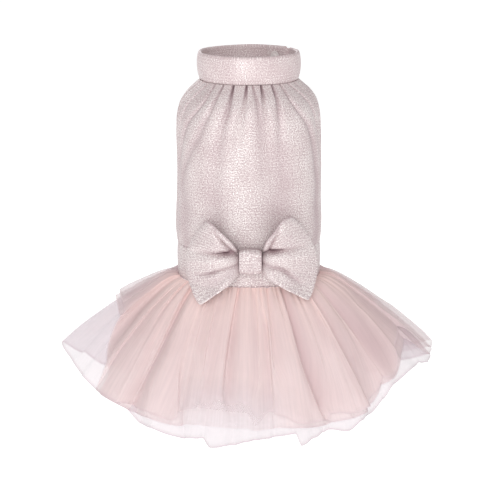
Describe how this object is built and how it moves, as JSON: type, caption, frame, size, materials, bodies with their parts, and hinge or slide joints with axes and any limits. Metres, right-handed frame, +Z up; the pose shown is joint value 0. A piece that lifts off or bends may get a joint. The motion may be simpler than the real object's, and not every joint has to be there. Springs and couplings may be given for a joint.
{
  "type": "dog dress",
  "caption": "Sleeveless dress for a small dog: stand-up snap collar, gathered knit bodice, waistband with a bow, and a layered tulle skirt, filled out and open.",
  "frame": {"origin": "centre of the neck seam, where the collar is sewn to the bodice", "axes": "+Z up out of the collar, -Y to the dog's back, where the bow is, +X to the right as the bow is looked at"},
  "size_m": [0.2915, 0.229, 0.2811],
  "materials": {
    "lurex_knit": "pale pink rib knit with metallic yarn, fine sparkle",
    "binding_knit": "pale pink knit, rolled edge",
    "snap_plastic": "moulded, satin",
    "tulle": "soft matt net, peach pink",
    "tulle_sheer": "soft matt net, single sheer layer"
  },
  "bodies": {
    "root": {"bodice_back": "lurex_knit", "bodice_belly": "lurex_knit", "armhole_binding_left": "binding_knit", "armhole_binding_right": "binding_knit", "collar": "lurex_knit", "collar_snap": "snap_plastic", "waistband": "lurex_knit", "bow_loop_left": "lurex_knit", "bow_loop_right": "lurex_knit", "bow_knot": "lurex_knit", "skirt_top": "tulle", "skirt_middle": "tulle", "skirt_under": "tulle_sheer"}
  },
  "joints": []
}
